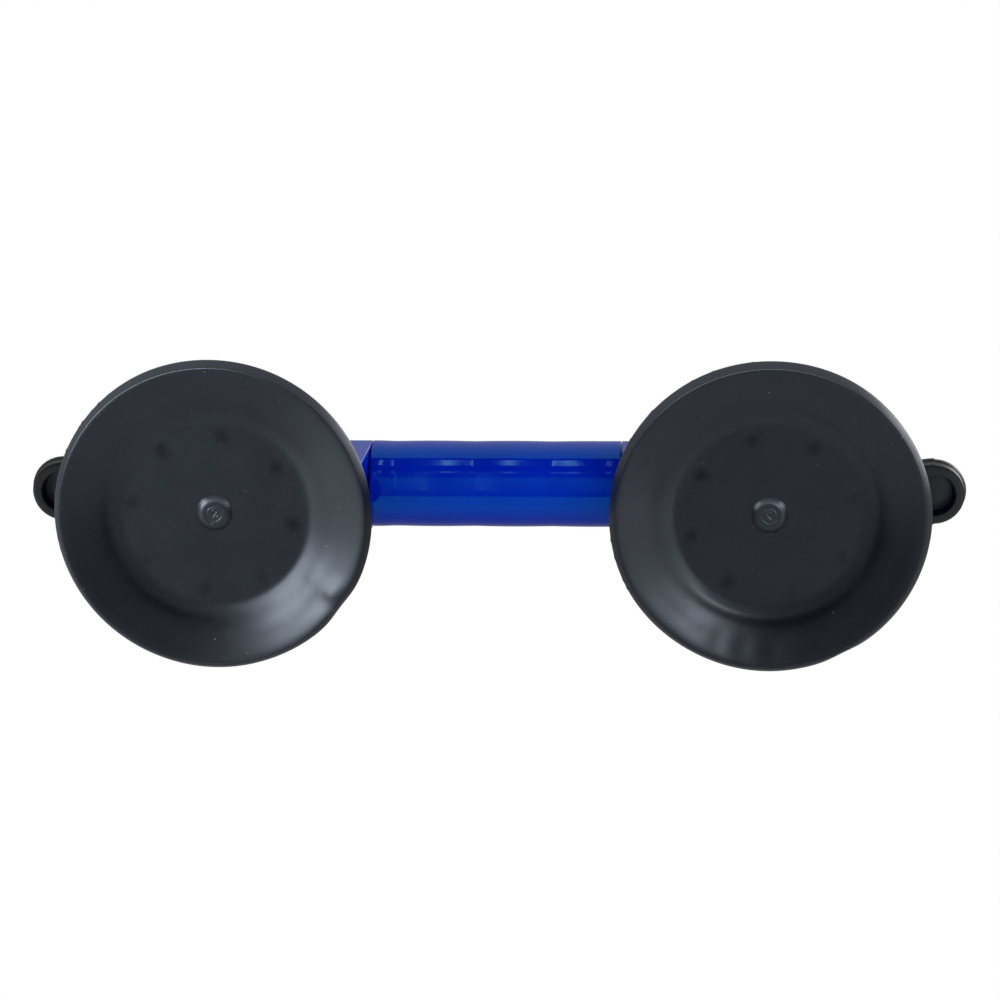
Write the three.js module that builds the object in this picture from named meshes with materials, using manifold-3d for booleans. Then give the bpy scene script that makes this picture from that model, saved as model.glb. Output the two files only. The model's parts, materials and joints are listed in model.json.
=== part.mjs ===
// Twin suction lifter: a round bar grip between two cam-lever suction heads.
// Millimetres, +Z up, +X along the grip.
// The origin is midway between the two pads, on the plane that they seal on.
import * as THREE from 'three';
import { mergeVertices } from 'three/addons/utils/BufferGeometryUtils.js';
import Module from 'manifold-3d';

const wasm = await Module();
wasm.setup();

// Driving dimensions.
const HEAD_X = 104;            // grip centre to suction head centre
const PAD_R = 60;              // widest radius of a rubber pad
const SEAL_R = 57.6;           // outer radius of the sealing land
const SEAL_WIDTH = 1;          // width of the flat sealing land
const PAD_RIM_TOP = 6.9;       // top of the rubber rim
const GRIP_R = 16.6;
const GRIP_Z = 51.3;           // height of the grip axis
const GRIP_HALF = 48;          // grip centre to the inner wall of a housing
const WALL = 3.2;              // wall of the moulded housings
const GAP = 0.3;               // space between pieces that touch
const RUN = 0.15;              // radial clearance of running fits
const STROKE = 4;              // how far the lever pulls the pad centre up
const CAM_R = 12;              // cam radius under the pin when locked
const PIN_R = 2.5;
const LEVER_REACH = 63;        // pin to the centre of the lever's round tip
const LEVER_TIP_R = 12.5;
const SEGMENTS = 48;           // facets of large round pieces
const SMALL_SEGMENTS = 24;     // facets of small round pieces

// Heights worked out from the driving dimensions.
const PLATE_Z = 10.7;
const PLATE_T = 2.5;
const PLATE_R = 34.3;
const PLATE_TOP = PLATE_Z + PLATE_T;
const FLANGE_T = 2.5;
const BELL_R = 52;
const BELL_Z = PAD_RIM_TOP + GAP;
const BELL_TOP = 34.5;
const WEAR_Z = BELL_TOP + GAP;
const WEAR_T = 1.5;
const WEAR_R = 13;
const WEAR_TOP = WEAR_Z + WEAR_T;
const PIN_Z = WEAR_TOP + GAP + CAM_R;
const STEM_R = 5.5;
const STEM_TOP = PIN_Z + 4.6;
const BOSS_Z = 22;
const WALL_LEAN = 1.8;           // how far the block's end wall leans back at its foot
const SPIGOT_R = 12;
const SPIGOT_LENGTH = 12;
const SCREW_X = GRIP_HALF + 6 - HEAD_X;

const material = (name, color, roughness, metalness) =>
  Object.assign(new THREE.MeshStandardMaterial({ color, roughness, metalness }), { name });
const bluePlastic = material('blue_plastic', 0x0533a8, 0.12, 0);
const blackPlastic = material('black_plastic', 0x1c1e22, 0.42, 0);
const rubber = material('rubber', 0x24282c, 0.5, 0);
const zincSteel = material('zinc_steel', 0xa9adb2, 0.35, 1);
const brightSteel = material('bright_steel', 0xb9bdc2, 0.22, 1);
const nylon = material('nylon', 0xd9d7ce, 0.5, 0);

// A closed body: shared vertices merged, no slivers on the axis, faces pointing out.
function closed(geometry) {
  const bare = new THREE.BufferGeometry();
  bare.setAttribute('position', geometry.getAttribute('position').clone());
  if (geometry.index) bare.setIndex(geometry.index.clone());
  const merged = mergeVertices(bare, 1e-4);
  const kept = [];
  const corner = [new THREE.Vector3(), new THREE.Vector3(), new THREE.Vector3()];
  let volume = 0;
  for (let i = 0; i < merged.index.count; i += 3) {
    const t = [0, 1, 2].map((k) => merged.index.getX(i + k));
    if (t[0] === t[1] || t[1] === t[2] || t[2] === t[0]) continue;
    t.forEach((v, k) => corner[k].fromBufferAttribute(merged.getAttribute('position'), v));
    volume += corner[0].dot(corner[1].cross(corner[2]));
    kept.push(t);
  }
  merged.setIndex(kept.flatMap((t) => (volume > 0 ? t : [t[0], t[2], t[1]])));
  return merged;
}

function toSolid(geometry) {
  const body = closed(geometry);
  return new wasm.Manifold(new wasm.Mesh({
    numProp: 3,
    vertProperties: Float32Array.from(body.getAttribute('position').array),
    triVerts: Uint32Array.from(body.index.array),
  }));
}

function toGeometry(solid) {
  const mesh = solid.getMesh();
  const geometry = new THREE.BufferGeometry();
  geometry.setAttribute('position', new THREE.BufferAttribute(Float32Array.from(mesh.vertProperties), 3));
  geometry.setIndex(new THREE.BufferAttribute(Uint32Array.from(mesh.triVerts), 1));
  return geometry;
}

const join = (first, ...rest) => rest.reduce((sum, next) => sum.add(next), first);
const cut = (first, ...rest) => rest.reduce((left, next) => left.subtract(next), first);

// A turned shape about Z from its [radius, height] outline.
function turned(outline, segments = SEGMENTS) {
  const points = outline.map(([r, z]) => new THREE.Vector2(r, z));
  return new THREE.LatheGeometry(points, segments).rotateX(Math.PI / 2);
}

// A plain round bar along Z.
function bar(radius, low, high, segments = SMALL_SEGMENTS) {
  return turned([[0, low], [radius, low], [radius, high], [0, high]], segments);
}

// A plain ring along Z.
function tube(outer, inner, low, high, segments = SMALL_SEGMENTS) {
  return turned([[inner, low], [outer, low], [outer, high], [inner, high], [inner, low]], segments);
}

const alongY = (geometry) => geometry.rotateX(-Math.PI / 2);
const alongX = (geometry) => geometry.rotateY(Math.PI / 2);

function extruded(shape, depth, curveSegments) {
  return new THREE.ExtrudeGeometry(shape, { depth, bevelEnabled: false, curveSegments });
}

// An outline in X and Z, extruded from low to high in Y.
function sideProfile(shape, low, high, curveSegments = 8) {
  return extruded(shape, high - low, curveSegments).rotateX(Math.PI / 2).translate(0, high, 0);
}

// An outline in Y and Z, extruded from low to high in X.
function endProfile(shape, low, high, curveSegments = 12) {
  const turn = new THREE.Matrix4().makeBasis(
    new THREE.Vector3(0, 1, 0),
    new THREE.Vector3(0, 0, 1),
    new THREE.Vector3(1, 0, 0),
  );
  return extruded(shape, high - low, curveSegments).applyMatrix4(turn).translate(low, 0, 0);
}

// An outline in X and Y, extruded from low to high in Z.
function planProfile(shape, low, high, curveSegments = 8) {
  return extruded(shape, high - low, curveSegments).translate(0, 0, low);
}

function polygon(points) {
  return new THREE.Shape(points.map(([x, y]) => new THREE.Vector2(x, y)));
}

function piece(name, geometry, finish) {
  const mesh = new THREE.Mesh(closed(geometry), finish);
  mesh.name = name;
  return mesh;
}

// The rubber cup with its centre pulled up: a conical sealing ring that steepens under the edge of the
// backing plate, a flat recessed disc, a centre nub over the rivet, and a pocket on top for the backing plate.
function padGeometry() {
  const underside = [
    [0, 6.5], [4.4, 6.5], [6.9, 7.95], [34.3, 7.95], [36, 7.8], [39, 6.8], [42, 5.5], [45, 4.1],
    [SEAL_R - SEAL_WIDTH, 0],
  ];
  const rim = [[SEAL_R, 0], [PAD_R, 4.2], [PAD_R - 0.5, 6.3], [PAD_R - 1.6, PAD_RIM_TOP]];
  const top = [
    [BELL_R - 5, PAD_RIM_TOP], [43, 9.4], [39.5, 12.4], [38.6, 14.4],
    [PLATE_R + GAP, 14.4], [PLATE_R + GAP, PLATE_Z - GAP], [0, PLATE_Z - GAP],
  ];
  return turned([...underside, ...rim, ...top]);
}

// The steel disc bonded into the pad, with a ring of keying holes and a centre hole for the rivet.
function backingPlateGeometry() {
  const holeRing = 30;
  const holeCount = 8;
  const disc = toSolid(tube(PLATE_R, 4.3, PLATE_Z, PLATE_TOP, SEGMENTS));
  const holes = [];
  for (let i = 0; i < holeCount; i += 1) {
    const angle = (i + 0.5) * 2 * Math.PI / holeCount;
    const hole = bar(2.2, PLATE_Z - 1, PLATE_TOP + 1, 12);
    hole.translate(holeRing * Math.cos(angle), holeRing * Math.sin(angle), 0);
    holes.push(toSolid(hole));
  }
  return toGeometry(cut(disc, ...holes));
}

// The pull stem: a riveted foot on the plate, a round shaft, and a cross hole for the hinge pin.
function stemGeometry() {
  const foot = PLATE_TOP + GAP;
  const shaft = toSolid(turned([
    [0, PLATE_Z], [4, PLATE_Z], [4, foot], [9, foot], [9, foot + FLANGE_T], [STEM_R, foot + FLANGE_T],
    [STEM_R, STEM_TOP - 1], [STEM_R - 1, STEM_TOP], [0, STEM_TOP],
  ], SMALL_SEGMENTS));
  const eye = toSolid(alongY(bar(PIN_R + RUN, -9, 9)).translate(0, 0, PIN_Z));
  return toGeometry(cut(shaft, eye));
}

// The flanged bush that guides the stem through the top of the housing.
function bushGeometry() {
  const inner = STEM_R + RUN;
  return turned([
    [inner, BOSS_Z - 2.3], [10.5, BOSS_Z - 2.3], [10.5, BOSS_Z - GAP], [8, BOSS_Z - GAP],
    [8, BELL_TOP - GAP], [inner, BELL_TOP - GAP], [inner, BOSS_Z - 2.3],
  ], SMALL_SEGMENTS);
}

// The bell over the pad, joined to an upright block that carries the grip.
// Positions are from the head centre, with the grip towards -X.
function housingGeometry() {
  const inwardWall = GRIP_HALF - HEAD_X;
  const blockTop = GRIP_Z + GRIP_R;
  const bell = toSolid(turned([
    [0, BOSS_Z], [12, BOSS_Z], [12, BELL_TOP - WALL], [24, BELL_TOP - WALL], [34, 26.5], [42, 18.6],
    [BELL_R - WALL, 11], [BELL_R - WALL, BELL_Z], [BELL_R, BELL_Z], [BELL_R, 11.6], [50.4, 14],
    [45, 20.6], [37, 28.2], [30, 32.6], [25, BELL_TOP], [0, BELL_TOP],
  ]));
  const saddle = (inset) => {
    const half = GRIP_R - inset;
    const shape = new THREE.Shape();
    shape.moveTo(half, 0);
    shape.absarc(0, GRIP_Z, half, 0, Math.PI, false);
    shape.lineTo(-half, 0);
    return shape;
  };
  const blockSide = new THREE.Shape();
  blockSide.moveTo(inwardWall + WALL_LEAN, BELL_Z + 2);
  blockSide.lineTo(-20, BELL_Z + 2);
  blockSide.lineTo(-WEAR_R - 2, BELL_TOP - WALL);
  blockSide.lineTo(-WEAR_R - 2, BELL_TOP);
  blockSide.bezierCurveTo(-18, 38, -24, 60, -32, blockTop + 0.4);
  blockSide.lineTo(inwardWall, blockTop + 0.4);
  blockSide.lineTo(inwardWall, GRIP_Z);
  const block = toSolid(endProfile(saddle(0), inwardWall, -10))
    .intersect(toSolid(sideProfile(blockSide, -GRIP_R - 1, GRIP_R + 1)));
  const hollowSide = polygon([
    [inwardWall + WALL + WALL_LEAN, 13], [-20, 13], [-20, 27], [-27, 33], [inwardWall + WALL + 1, 33],
  ]);
  const hollow = toSolid(endProfile(saddle(WALL), inwardWall + WALL, -15))
    .intersect(toSolid(sideProfile(hollowSide, -GRIP_R, GRIP_R)));
  const bellSpace = toSolid(turned([
    [0, 0], [BELL_R - WALL, 0], [BELL_R - WALL, 11], [42, 18.6], [34, 26.5], [24, BELL_TOP - WALL],
    [12, BELL_TOP - WALL], [12, BOSS_Z], [0, BOSS_Z],
  ]));
  const socketDepth = SPIGOT_LENGTH + 0.6;
  const socket = toSolid(alongX(bar(SPIGOT_R + GAP, inwardWall - 1, inwardWall + socketDepth, SEGMENTS))
    .translate(0, 0, GRIP_Z));
  const bushHole = toSolid(bar(8 + GAP, 0, BELL_TOP + 1));
  const screwHole = toSolid(bar(2, GRIP_Z + 5, blockTop + 1, 16).translate(SCREW_X, 0, 0));
  const screwSeat = toSolid(bar(4, blockTop - 2.9, blockTop + 1, 16).translate(SCREW_X, 0, 0));
  return toGeometry(cut(join(bell, block), hollow.subtract(toSolid(bar(12, 0, BELL_TOP))),
    bellSpace, socket, bushHole, screwHole, screwSeat));
}

// The hardened washer that the cams press on.
const wearPlateGeometry = () => tube(WEAR_R, 6.2, WEAR_Z, WEAR_TOP);

// The lever, locked: a fork with two cams about the pin, and an arm to a round tip hollowed from below.
// The cam's reach falls evenly with the turn, so pad centre height follows lever angle in a straight line.
function leverGeometry() {
  const cheekIn = STEM_R + 0.6;
  const cheekOut = 11.3;
  const pitch = STROKE / (Math.PI / 2);
  const steps = 12;
  const outline = [];
  for (let i = 0; i <= steps; i += 1) {
    const turn = i / steps * Math.PI / 2;
    const reach = CAM_R - pitch * turn;
    outline.push([
      -reach * Math.sin(turn) + pitch * Math.cos(turn),
      -reach * Math.cos(turn) - pitch * Math.sin(turn),
    ]);
  }
  const crown = CAM_R - STROKE;
  for (let i = 0; i <= 8; i += 1) {
    const turn = Math.PI - i / 8 * Math.PI / 2;
    outline.push([crown * Math.cos(turn), crown * Math.sin(turn)]);
  }
  const tipTop = -2.6;
  const tipUnder = -11.6;
  outline.push([12, 6.6], [26, 3.4], [42, -0.6], [50, -2.2], [56, tipTop]);
  outline.push([LEVER_REACH + LEVER_TIP_R, tipTop], [LEVER_REACH + LEVER_TIP_R, tipUnder], [50, tipUnder]);
  outline.push([40, -9.4], [26, -7.4], [14, -7.6], [9, -9.6], [7, -CAM_R]);
  const side = toSolid(sideProfile(polygon(outline), -LEVER_TIP_R, LEVER_TIP_R));
  const plan = new THREE.Shape();
  plan.moveTo(-cheekOut, -cheekOut);
  plan.lineTo(44, -cheekOut);
  plan.lineTo(LEVER_REACH, -LEVER_TIP_R);
  plan.absarc(LEVER_REACH, 0, LEVER_TIP_R, -Math.PI / 2, Math.PI / 2, false);
  plan.lineTo(44, cheekOut);
  plan.lineTo(-cheekOut, cheekOut);
  const blank = side.intersect(toSolid(planProfile(plan, -20, 20, 12)));
  const slot = toSolid(new THREE.BoxGeometry(20.5, 2 * cheekIn, 40).translate(-0.75, 0, 0));
  const channelSide = polygon([[13, -20], [46, -20], [46, -5.6], [40, -4.4], [26, -0.6], [13, 2.6]]);
  const trough = toSolid(sideProfile(channelSide, -7.6, 7.6));
  const dish = toSolid(bar(8, tipUnder - 1, tipUnder + 5).translate(LEVER_REACH, 0, 0));
  const bore = toSolid(alongY(bar(PIN_R + RUN, -15, 15)));
  return toGeometry(cut(blank, slot, trough, dish, bore)).translate(0, 0, PIN_Z);
}

// The hinge pin, headed at one end and grooved for its clip at the other.
const CLIP_Y = 11.75;
const CLIP_T = 0.8;
function pinGeometry() {
  return alongY(turned([
    [0, -13.3], [4.2, -13.3], [4.2, -11.6], [PIN_R, -11.6], [PIN_R, CLIP_Y - GAP], [1.8, CLIP_Y - GAP],
    [1.8, CLIP_Y + CLIP_T + GAP], [PIN_R, CLIP_Y + CLIP_T + GAP], [PIN_R, 14], [0, 14],
  ], SMALL_SEGMENTS)).translate(0, 0, PIN_Z);
}

// The open ring clip in the pin's groove.
function clipGeometry() {
  const opening = 0.6;
  const shape = new THREE.Shape();
  shape.absarc(0, 0, 4.4, -Math.PI / 2 + opening, 1.5 * Math.PI - opening, false);
  shape.absarc(0, 0, 2.1, 1.5 * Math.PI - opening, -Math.PI / 2 + opening, true);
  return sideProfile(shape, CLIP_Y, CLIP_Y + CLIP_T, 20).translate(0, 0, PIN_Z);
}

// The grip: a tube with a reduced spigot at each end that enters the housings.
function gripGeometry() {
  const shoulder = GRIP_HALF - GAP;
  const end = GRIP_HALF + SPIGOT_LENGTH;
  const bore = SPIGOT_R - 3;
  const blank = toSolid(alongX(turned([
    [bore, -end], [SPIGOT_R, -end], [SPIGOT_R, -shoulder], [GRIP_R, -shoulder], [GRIP_R, shoulder],
    [SPIGOT_R, shoulder], [SPIGOT_R, end], [bore, end], [bore, -end],
  ])).translate(0, 0, GRIP_Z));
  const holes = [-1, 1].map((side) => toSolid(
    bar(2, GRIP_Z, GRIP_Z + GRIP_R + 1, 16).translate(side * (GRIP_HALF + 6), 0, 0),
  ));
  return toGeometry(cut(blank, ...holes));
}

// The pan head screw that holds a grip spigot in its socket, with a cross recess.
function screwGeometry() {
  const headZ = GRIP_Z + GRIP_R - 2.6;
  const body = toSolid(turned([
    [0, GRIP_Z + 6.5], [0.6, GRIP_Z + 6.5], [1.65, GRIP_Z + 8], [1.65, headZ], [3.6, headZ],
    [3.6, headZ + 1.2], [2.4, headZ + 2.1], [0, headZ + 2.3],
  ], 16));
  const arm = () => new THREE.BoxGeometry(3.6, 0.8, 2.4).translate(0, 0, headZ + 2.3);
  const recess = toSolid(arm()).add(toSolid(arm().rotateZ(Math.PI / 2)));
  return toGeometry(body.subtract(recess)).translate(SCREW_X, 0, 0);
}

function suctionHead(side) {
  const head = new THREE.Group();
  head.add(
    piece(`${side}_head_housing`, housingGeometry(), bluePlastic),
    piece(`${side}_guide_bush`, bushGeometry(), nylon),
    piece(`${side}_wear_plate`, wearPlateGeometry(), brightSteel),
    piece(`${side}_rubber_pad`, padGeometry(), rubber),
    piece(`${side}_backing_plate`, backingPlateGeometry(), zincSteel),
    piece(`${side}_pull_stem`, stemGeometry(), zincSteel),
    piece(`${side}_hinge_pin`, pinGeometry(), brightSteel),
    piece(`${side}_pin_clip`, clipGeometry(), brightSteel),
    piece(`${side}_lever`, leverGeometry(), blackPlastic),
    piece(`${side}_grip_screw`, screwGeometry(), zincSteel),
  );
  return head;
}

const lifter = new THREE.Group();
const rightHead = suctionHead('right');
rightHead.position.x = HEAD_X;
const leftHead = suctionHead('left');
leftHead.position.x = -HEAD_X;
leftHead.rotation.z = Math.PI;
lifter.add(rightHead, leftHead, piece('grip_bar', gripGeometry(), bluePlastic));

export default lifter;
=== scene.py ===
import json
import math

import bpy
import numpy as np
from mathutils import Matrix, Vector

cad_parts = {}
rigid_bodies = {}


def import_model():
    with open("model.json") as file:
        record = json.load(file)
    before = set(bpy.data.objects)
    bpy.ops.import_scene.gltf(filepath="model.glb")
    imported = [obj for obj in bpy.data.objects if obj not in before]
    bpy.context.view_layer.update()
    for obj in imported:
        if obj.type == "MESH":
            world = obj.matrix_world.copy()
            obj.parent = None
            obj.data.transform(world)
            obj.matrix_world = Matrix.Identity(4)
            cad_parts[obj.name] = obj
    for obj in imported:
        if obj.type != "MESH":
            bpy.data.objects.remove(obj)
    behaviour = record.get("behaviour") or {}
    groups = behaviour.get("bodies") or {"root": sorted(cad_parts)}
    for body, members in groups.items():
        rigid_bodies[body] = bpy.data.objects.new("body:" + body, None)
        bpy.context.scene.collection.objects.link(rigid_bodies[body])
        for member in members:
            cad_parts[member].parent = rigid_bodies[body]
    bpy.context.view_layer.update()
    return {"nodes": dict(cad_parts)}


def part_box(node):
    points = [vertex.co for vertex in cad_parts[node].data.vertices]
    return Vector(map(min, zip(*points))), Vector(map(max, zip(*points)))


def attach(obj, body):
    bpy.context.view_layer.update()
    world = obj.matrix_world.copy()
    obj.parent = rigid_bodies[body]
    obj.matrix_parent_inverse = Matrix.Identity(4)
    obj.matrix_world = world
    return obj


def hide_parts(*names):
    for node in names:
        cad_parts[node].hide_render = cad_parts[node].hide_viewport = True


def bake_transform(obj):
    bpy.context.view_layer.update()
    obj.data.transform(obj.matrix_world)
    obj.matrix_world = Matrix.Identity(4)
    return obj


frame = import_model()

# ---------------------------------------------------------------- places and sizes, in millimetres
MM = 0.001
SIDES = {"right": 1, "left": -1}


def box_mm(node):
    low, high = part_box(node)
    return np.array(low) / MM, np.array(high) / MM


pad_low, pad_high = box_mm("right_rubber_pad")
grip_low, grip_high = box_mm("grip_bar")
pin_low, pin_high = box_mm("right_hinge_pin")
wear_low = box_mm("right_wear_plate")[0]
HEAD_X = (pad_low[0] + pad_high[0]) / 2  # from the middle of the grip to a head's centre
PAD_R = (pad_high[0] - pad_low[0]) / 2
PAD_TOP = 6.9
SEAL_R = PAD_R - 2.4  # where the flared rim meets the sealing edge
GRIP_R = (grip_high[1] - grip_low[1]) / 2
GRIP_Z = (grip_low[2] + grip_high[2]) / 2
GRIP_HALF = 48.0  # half the length of grip that shows between the housings
PIN_Z = (pin_low[2] + pin_high[2]) / 2
BELL_TOP = wear_low[2] - 0.3
BELL_R = 52.0
BELL_FOOT = PAD_TOP + 0.3
WALL = 3.2  # thickness of the bell
SCREW_X = GRIP_HALF + 6  # the screws that hold the grip's ends
LEVER_REACH = 63.0  # from the hinge pin to the centre of the finger tip
TIP_R = 12.15
TIP_FOOT = -11.6  # underside of the finger tip, from the pin
CAM_FOOT = 12  # reach of the cam at its foot and at its back
CAM_BACK = 8
CAM_GAP = 0.25  # the cam stays this far inside its CAD shape, clear of the wear plate
PULL_STROKE = 4.0
DIMPLES = 8
DIMPLE_RING = 31.2
DIMPLE_WIDTH = 2.5
DIMPLE_TURN = {"left": math.radians(8), "right": math.radians(-14)}
TURN = 2 * math.pi


# ---------------------------------------------------------------- small mesh tools
def make_object(name, points, faces, material, normals=None):
    """A smooth-shaded object from points in millimetres."""
    mesh = bpy.data.meshes.new(name)
    mesh.from_pydata((np.asarray(points) * MM).tolist(), [], [list(f) for f in faces])
    mesh.polygons.foreach_set("use_smooth", [True] * len(mesh.polygons))
    mesh.materials.append(material)
    if normals is not None:
        mesh.normals_split_custom_set_from_vertices(np.asarray(normals).tolist())
    mesh.update()
    made = bpy.data.objects.new(name, mesh)
    bpy.context.scene.collection.objects.link(made)
    return made


def placed(points, side):
    """Points given from a head's centre with the grip towards -X, put in the object's frame."""
    flip = SIDES[side]
    return np.asarray(points) * (flip, flip, 1) + (flip * HEAD_X, 0, 0)


def smooth_step(low, high, value):
    t = np.clip((value - low) / (high - low), 0, 1)
    return t * t * (3 - 2 * t)


def bump(distance, width):
    return np.exp(-(distance / width) ** 2)


def curve_through(knots, at):
    """A smooth curve through (x, y) knots that doesn't overshoot them."""
    x, y = np.array(knots, float).T
    width, slope = np.diff(x), np.diff(y) / np.diff(x)
    tangent = np.zeros(len(x))
    same = slope[1:] * slope[:-1] > 0
    mean = 3 * (width[1:] + width[:-1]) / (
        (2 * width[1:] + width[:-1]) / np.where(same, slope[:-1], 1)
        + (width[1:] + 2 * width[:-1]) / np.where(same, slope[1:], 1)
    )
    tangent[1:-1] = np.where(same, mean, 0)
    tangent[0], tangent[-1] = slope[0], slope[-1]
    i = np.clip(np.searchsorted(x, at) - 1, 0, len(x) - 2)
    t = np.clip((at - x[i]) / width[i], 0, 1)
    return (
        (1 + 2 * t) * (1 - t) ** 2 * y[i]
        + t * (1 - t) ** 2 * width[i] * tangent[i]
        + t * t * (3 - 2 * t) * y[i + 1]
        + t * t * (t - 1) * width[i] * tangent[i + 1]
    )


def rounded(outline, arc_steps):
    """An outline of (a, b, corner radius) points, with each corner rounded by an arc."""
    out = []
    count = len(outline)
    for i, (a, b, radius) in enumerate(outline):
        here = np.array((a, b), float)
        if radius <= 0:
            out.append(here)
            continue
        before = np.array(outline[i - 1][:2], float) - here
        after = np.array(outline[(i + 1) % count][:2], float) - here
        before, after = before / np.linalg.norm(before), after / np.linalg.norm(after)
        half = math.acos(np.clip(before @ after, -1, 1)) / 2
        reach = radius / math.tan(half)
        centre = here + (before + after) / np.linalg.norm(before + after) * radius / math.sin(half)
        first, last = here + before * reach - centre, here + after * reach - centre
        sweep = math.acos(np.clip(first @ last / radius**2, -1, 1))
        for k in range(arc_steps + 1):
            t = k / arc_steps
            mix = math.sin((1 - t) * sweep) * first + math.sin(t * sweep) * last
            out.append(centre + mix / math.sin(sweep))
    return np.array(out)


def ring_faces(count, steps):
    """Quads between successive rings of points."""
    i, k = np.meshgrid(np.arange(count - 1), np.arange(steps), indexing="ij")
    n = (k + 1) % steps
    low, high = i * steps, (i + 1) * steps
    return np.stack((low + k, low + n, high + n, high + k), -1).reshape(-1, 4)


def loop_faces(count, steps):
    """Quads between successive rings, and from the last ring back to the first."""
    last = (count - 1) * steps
    k = np.arange(steps)
    n = (k + 1) % steps
    return np.vstack((ring_faces(count, steps), np.column_stack((last + k, last + n, n, k))))


def turned(outline, steps):
    """A ring turned about Z from a closed outline of (radius, height) points."""
    angle = np.arange(steps) * TURN / steps
    rings = [np.column_stack((r * np.cos(angle), r * np.sin(angle), np.full(steps, z))) for r, z in outline]
    return np.vstack(rings), loop_faces(len(outline), steps)


# ---------------------------------------------------------------- surfaces from distance fields
def soft_max(a, b, radius):
    """The larger of two distances, with the edge between them rounded."""
    overlap = np.maximum(radius - np.abs(a - b), 0) / radius
    return np.maximum(a, b) + overlap * overlap * radius / 4


def soft_min(a, b, radius):
    return -soft_max(-a, -b, radius)


def gradient(distance, points, step=0.02):
    out = np.empty_like(points)
    for axis in range(3):
        ahead, behind = points.copy(), points.copy()
        ahead[:, axis] += step
        behind[:, axis] -= step
        out[:, axis] = (distance(*ahead.T) - distance(*behind.T)) / (2 * step)
    return out


def settle(distance, points, limit):
    """Moves points onto the surface where distance is zero, by at most a limit."""
    flattest = 0.05
    slope = gradient(distance, points)
    move = -(distance(*points.T) / np.maximum((slope**2).sum(1), flattest))[:, None] * slope
    length = np.linalg.norm(move, axis=1, keepdims=True)
    return points + move * np.minimum(1, limit / np.maximum(length, 1e-9))


def surface_net(distance, low, high, step):
    """A closed quad mesh of the surface where distance(x, y, z) is zero, with its normals."""
    axes = [np.arange(a - step, b + 2 * step, step) for a, b in zip(low, high)]
    value = distance(*np.meshgrid(*axes, indexing="ij"))
    inside = value < 0
    count = np.zeros([n - 1 for n in value.shape], int)
    for i in (0, 1):
        for j in (0, 1):
            for k in (0, 1):
                nx, ny, nz = count.shape
                count += inside[i : nx + i, j : ny + j, k : nz + k]
    active = (count > 0) & (count < 8)
    index = np.full(active.shape, -1)
    cells = np.argwhere(active)
    index[active] = np.arange(len(cells))
    total, hits = np.zeros((len(cells), 3)), np.zeros(len(cells))
    faces = []
    unit = np.eye(3, dtype=int)
    for axis in range(3):
        u, v = (axis + 1) % 3, (axis + 2) % 3
        for du in (0, 1):
            for dv in (0, 1):
                start = cells + du * unit[u] + dv * unit[v]
                a, b = value[tuple(start.T)], value[tuple((start + unit[axis]).T)]
                hit = (a < 0) != (b < 0)
                t = np.where(hit, a / np.where(a == b, 1, a - b), 0)
                total += (start + t[:, None] * unit[axis]) * hit[:, None]
                hits += hit
        near = np.take(inside, range(value.shape[axis] - 1), axis)
        far = np.take(inside, range(1, value.shape[axis]), axis)
        edges = np.argwhere(near != far)
        around = [edges - a * unit[u] - b * unit[v] for a, b in ((1, 1), (0, 1), (0, 0), (1, 0))]
        quads = np.column_stack([index[tuple(cell.T)] for cell in around])
        outward = near[tuple(edges.T)]
        faces.append(np.where(outward[:, None], quads, quads[:, ::-1]))
    faces = np.vstack(faces)
    points = total / hits[:, None] * step + [a[0] for a in axes]
    for _ in range(3):
        points = settle(distance, points, step)
        centres = points[faces].mean(1)
        pulled, weight = np.zeros_like(points), np.zeros(len(points))
        for corner in range(4):
            np.add.at(pulled, faces[:, corner], centres)
            np.add.at(weight, faces[:, corner], 1)
        points = (points + pulled / weight[:, None]) / 2
    for _ in range(3):
        points = settle(distance, points, step)
    normals = gradient(distance, points)
    normals /= np.maximum(np.linalg.norm(normals, axis=1, keepdims=True), 1e-9)
    return points, faces, normals


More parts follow.
